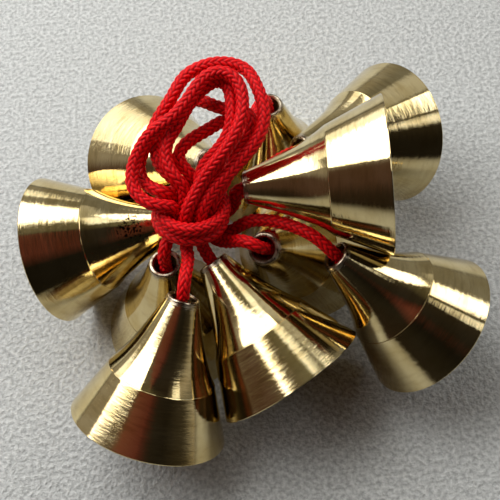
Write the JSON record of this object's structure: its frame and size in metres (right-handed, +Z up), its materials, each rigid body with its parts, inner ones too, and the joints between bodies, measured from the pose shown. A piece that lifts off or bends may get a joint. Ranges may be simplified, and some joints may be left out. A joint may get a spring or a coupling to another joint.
{
  "type": "bell cymbals",
  "caption": "Bunch of turned brass bell cymbals, strung in pairs on red braided cords that are gathered in one knot with hand loops above it.",
  "frame": {"origin": "middle of the bells' box on the surface they stand on", "axes": "+Z up, -Y towards the viewer, +X to the viewer's right"},
  "size_m": [0.1653, 0.1616, 0.0972],
  "materials": {
    "brass": "polished",
    "cord": "matte"
  },
  "bodies": {
    "bunch": {"cord_JI": "cord", "cord_AH": "cord", "cord_BG": "cord", "cord_DF": "cord", "cord_CE": "cord", "knot_wrap": "cord", "stopper_C": "cord", "stopper_F": "cord", "stopper_G": "cord", "stopper_J": "cord"},
    "end_A": {"stopper_A": "cord"},
    "end_B": {"stopper_B": "cord"},
    "end_D": {"stopper_D": "cord"},
    "end_E": {"stopper_E": "cord"},
    "end_H": {"stopper_H": "cord"},
    "end_I": {"stopper_I": "cord"},
    "bell_A": {"bell_A": "brass"},
    "bell_B": {"bell_B": "brass"},
    "bell_C": {"bell_C": "brass"},
    "bell_D": {"bell_D": "brass"},
    "bell_E": {"bell_E": "brass"},
    "bell_F": {"bell_F": "brass"},
    "bell_G": {"bell_G": "brass"},
    "bell_H": {"bell_H": "brass"},
    "bell_I": {"bell_I": "brass"},
    "bell_J": {"bell_J": "brass"}
  },
  "joints": [
    {"name": "lift_A", "type": "hinge", "parent": "bunch", "child": "end_A", "pos_m": [-0.02794, 0.00909, 0.04149], "axis": [0.0872, 0.9962, 0], "range_deg": [0, 25]},
    {"name": "lift_B", "type": "hinge", "parent": "bunch", "child": "end_B", "pos_m": [-0.01133, 0.02602, 0.05299], "axis": [0.7193, 0.6947, 0], "range_deg": [0, 30]},
    {"name": "lift_D", "type": "hinge", "parent": "bunch", "child": "end_D", "pos_m": [0.0235, 0.03146, 0.0473], "axis": [0.454, -0.891, 0], "range_deg": [0, 30]},
    {"name": "lift_E", "type": "hinge", "parent": "bunch", "child": "end_E", "pos_m": [0.00147, 0.00501, 0.06667], "axis": [-0.0698, -0.9976, 0], "range_deg": [0, 12]},
    {"name": "lift_H", "type": "hinge", "parent": "bunch", "child": "end_H", "pos_m": [-0.01336, -0.01338, 0.04781], "axis": [-0.848, -0.5299, 0], "range_deg": [0, 30]},
    {"name": "lift_I", "type": "hinge", "parent": "bunch", "child": "end_I", "pos_m": [-0.02496, -0.02883, 0.05328], "axis": [-0.8572, 0.515, 0], "range_deg": [0, 30]},
    {"name": "spin_A", "type": "hinge", "parent": "end_A", "child": "bell_A", "pos_m": [-0.02794, 0.00909, 0.04149], "axis": [-0.9474, 0.0829, -0.309], "continuous": true},
    {"name": "spin_B", "type": "hinge", "parent": "end_B", "child": "bell_B", "pos_m": [-0.01133, 0.02602, 0.05299], "axis": [-0.5162, 0.5346, -0.6691], "continuous": true},
    {"name": "spin_C", "type": "hinge", "parent": "bunch", "child": "bell_C", "pos_m": [0.01327, 0.05276, 0.0485], "axis": [0, 0, -1], "continuous": true},
    {"name": "spin_D", "type": "hinge", "parent": "end_D", "child": "bell_D", "pos_m": [0.0235, 0.03146, 0.0473], "axis": [0.7867, 0.4008, -0.4695], "continuous": true},
    {"name": "spin_E", "type": "hinge", "parent": "end_E", "child": "bell_E", "pos_m": [0.00147, 0.00501, 0.06667], "axis": [0.9962, -0.0697, 0.0523], "continuous": true},
    {"name": "spin_F", "type": "hinge", "parent": "bunch", "child": "bell_F", "pos_m": [0.02976, -0.01924, 0.05328], "axis": [0.6681, -0.2975, -0.682], "continuous": true},
    {"name": "spin_G", "type": "hinge", "parent": "bunch", "child": "bell_G", "pos_m": [0.00486, -0.01386, 0.05571], "axis": [0.3201, 0.4406, -0.8387], "continuous": true},
    {"name": "spin_H", "type": "hinge", "parent": "end_H", "child": "bell_H", "pos_m": [-0.01336, -0.01338, 0.04781], "axis": [0.4635, -0.7417, -0.4848], "continuous": true},
    {"name": "spin_I", "type": "hinge", "parent": "end_I", "child": "bell_I", "pos_m": [-0.02496, -0.02883, 0.05328], "axis": [-0.3767, -0.6269, -0.682], "continuous": true},
    {"name": "spin_J", "type": "hinge", "parent": "bunch", "child": "bell_J", "pos_m": [-0.0306, -0.01149, 0.0485], "axis": [0, 0, -1], "continuous": true}
  ]
}
